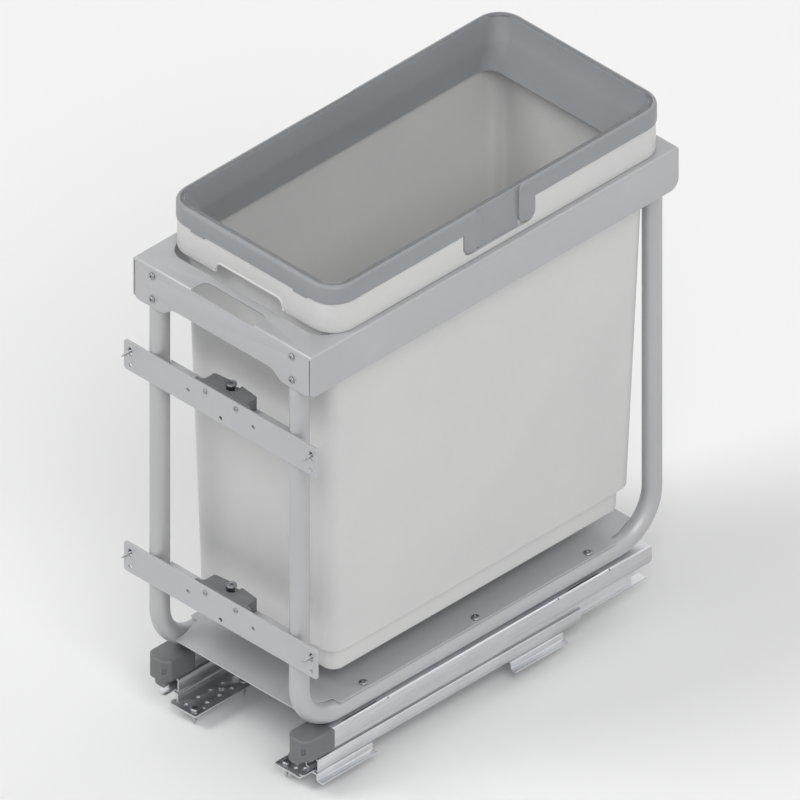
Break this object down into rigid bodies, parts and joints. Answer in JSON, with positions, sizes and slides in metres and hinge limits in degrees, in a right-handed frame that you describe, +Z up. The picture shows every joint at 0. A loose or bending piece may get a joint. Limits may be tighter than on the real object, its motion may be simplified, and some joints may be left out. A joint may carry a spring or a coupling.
{
  "type": "pull-out waste bin unit",
  "caption": "Tall bin with a bag ring, hung in a sheet-metal collar on two bent tubes that slide out of a base cabinet on telescopic runners, with door strips.",
  "frame": {"origin": "middle of the plane on which the runner brackets stand, halfway along the collar", "axes": "+Z up, +X to the right seen from the door, the door side at -Y, so the bin pulls out along -Y"},
  "size_m": [0.288, 0.5665, 0.6463],
  "materials": {
    "coated_steel": "light silver-grey powder coat, fine texture",
    "zinc_plated_steel": "rolled steel with bright zinc plating",
    "screw_steel": "plated steel, slightly darker than the rails",
    "bin_plastic": "moulded polypropylene, satin, light grey",
    "ring_plastic": "moulded plastic, satin, mid grey",
    "grey_plastic": "moulded plastic, fine matte, dark grey",
    "damper_plastic": "moulded plastic, smooth, grey",
    "roller_plastic": "natural acetal, slightly waxy"
  },
  "bodies": {
    "cabinet_side": {"left_cabinet_rail": "zinc_plated_steel", "right_cabinet_rail": "zinc_plated_steel", "left_front_bracket": "zinc_plated_steel", "right_front_bracket": "zinc_plated_steel", "left_rear_bracket": "zinc_plated_steel", "right_rear_bracket": "zinc_plated_steel", "left_damper": "damper_plastic", "right_damper": "damper_plastic", "left_front_floor_screw": "screw_steel", "left_middle_floor_screw": "screw_steel", "left_rear_floor_screw": "screw_steel", "right_front_floor_screw": "screw_steel", "right_middle_floor_screw": "screw_steel", "right_rear_floor_screw": "screw_steel"},
    "carriage": {"collar": "coated_steel", "left_tube": "coated_steel", "right_tube": "coated_steel", "base_plate": "coated_steel", "left_drawer_rail": "zinc_plated_steel", "right_drawer_rail": "zinc_plated_steel", "left_end_cap": "grey_plastic", "right_end_cap": "grey_plastic", "upper_crossbar": "coated_steel", "lower_crossbar": "coated_steel", "front_left_upper_collar_screw": "screw_steel", "front_left_lower_collar_screw": "screw_steel", "front_right_upper_collar_screw": "screw_steel", "front_right_lower_collar_screw": "screw_steel", "rear_left_upper_collar_screw": "screw_steel", "rear_left_lower_collar_screw": "screw_steel", "rear_right_upper_collar_screw": "screw_steel", "rear_right_lower_collar_screw": "screw_steel", "left_plate_screw_1": "screw_steel", "left_plate_screw_2": "screw_steel", "left_plate_screw_3": "screw_steel", "right_plate_screw_1": "screw_steel", "right_plate_screw_2": "screw_steel", "right_plate_screw_3": "screw_steel"},
    "middle_rails": {"left_middle_rail": "zinc_plated_steel", "right_middle_rail": "zinc_plated_steel"},
    "lower_cages": {"left_lower_cage": "roller_plastic", "right_lower_cage": "roller_plastic"},
    "upper_cages": {"left_upper_cage": "roller_plastic", "right_upper_cage": "roller_plastic"},
    "bin": {"bin": "bin_plastic"},
    "bag_ring": {"bag_ring": "ring_plastic"},
    "upper_door_mount": {"upper_door_strip": "coated_steel", "upper_adjuster_housing": "grey_plastic", "upper_left_strip_screw": "screw_steel", "upper_right_strip_screw": "screw_steel", "upper_left_door_screw": "screw_steel", "upper_right_door_screw": "screw_steel"},
    "upper_cam": {"upper_cam_screw": "screw_steel"},
    "lower_door_mount": {"lower_door_strip": "coated_steel", "lower_adjuster_housing": "grey_plastic", "lower_left_strip_screw": "screw_steel", "lower_right_strip_screw": "screw_steel", "lower_left_door_screw": "screw_steel", "lower_right_door_screw": "screw_steel"},
    "lower_cam": {"lower_cam_screw": "screw_steel"}
  },
  "joints": [
    {"name": "pull_out", "type": "slide", "parent": "cabinet_side", "child": "carriage", "axis": [0, -1, 0], "range_m": [0, 0.45]},
    {"name": "middle_rail_slide", "type": "slide", "parent": "cabinet_side", "child": "middle_rails", "axis": [0, -1, 0], "range_m": [0, 0.226]},
    {"name": "lower_cage_slide", "type": "slide", "parent": "cabinet_side", "child": "lower_cages", "axis": [0, -1, 0], "range_m": [0, 0.113]},
    {"name": "upper_cage_slide", "type": "slide", "parent": "cabinet_side", "child": "upper_cages", "axis": [0, -1, 0], "range_m": [0, 0.338]},
    {"name": "bin_lift", "type": "slide", "parent": "carriage", "child": "bin", "axis": [0, 0, 1], "range_m": [0, 0.48]},
    {"name": "ring_lift", "type": "slide", "parent": "bin", "child": "bag_ring", "axis": [0, 0, 1], "range_m": [0, 0.08]},
    {"name": "upper_side_adjust", "type": "slide", "parent": "carriage", "child": "upper_door_mount", "axis": [1, 0, 0], "range_m": [-0.002, 0.002]},
    {"name": "upper_cam_turn", "type": "hinge", "parent": "upper_door_mount", "child": "upper_cam", "pos_m": [0, -0.2598, 0.4588], "axis": [0, 0, 1], "range_deg": [-66, 66]},
    {"name": "lower_side_adjust", "type": "slide", "parent": "carriage", "child": "lower_door_mount", "axis": [1, 0, 0], "range_m": [-0.002, 0.002]},
    {"name": "lower_cam_turn", "type": "hinge", "parent": "lower_door_mount", "child": "lower_cam", "pos_m": [0, -0.2598, 0.1988], "axis": [0, 0, 1], "range_deg": [-66, 66]}
  ],
  "couplings": [
    {"joint": "middle_rail_slide", "follows": "pull_out", "ratio": 0.5},
    {"joint": "lower_cage_slide", "follows": "pull_out", "ratio": 0.25},
    {"joint": "upper_cage_slide", "follows": "pull_out", "ratio": 0.75},
    {"joint": "upper_cam_turn", "follows": "upper_side_adjust", "rad_per_m": 520},
    {"joint": "lower_cam_turn", "follows": "lower_side_adjust", "rad_per_m": 520}
  ]
}
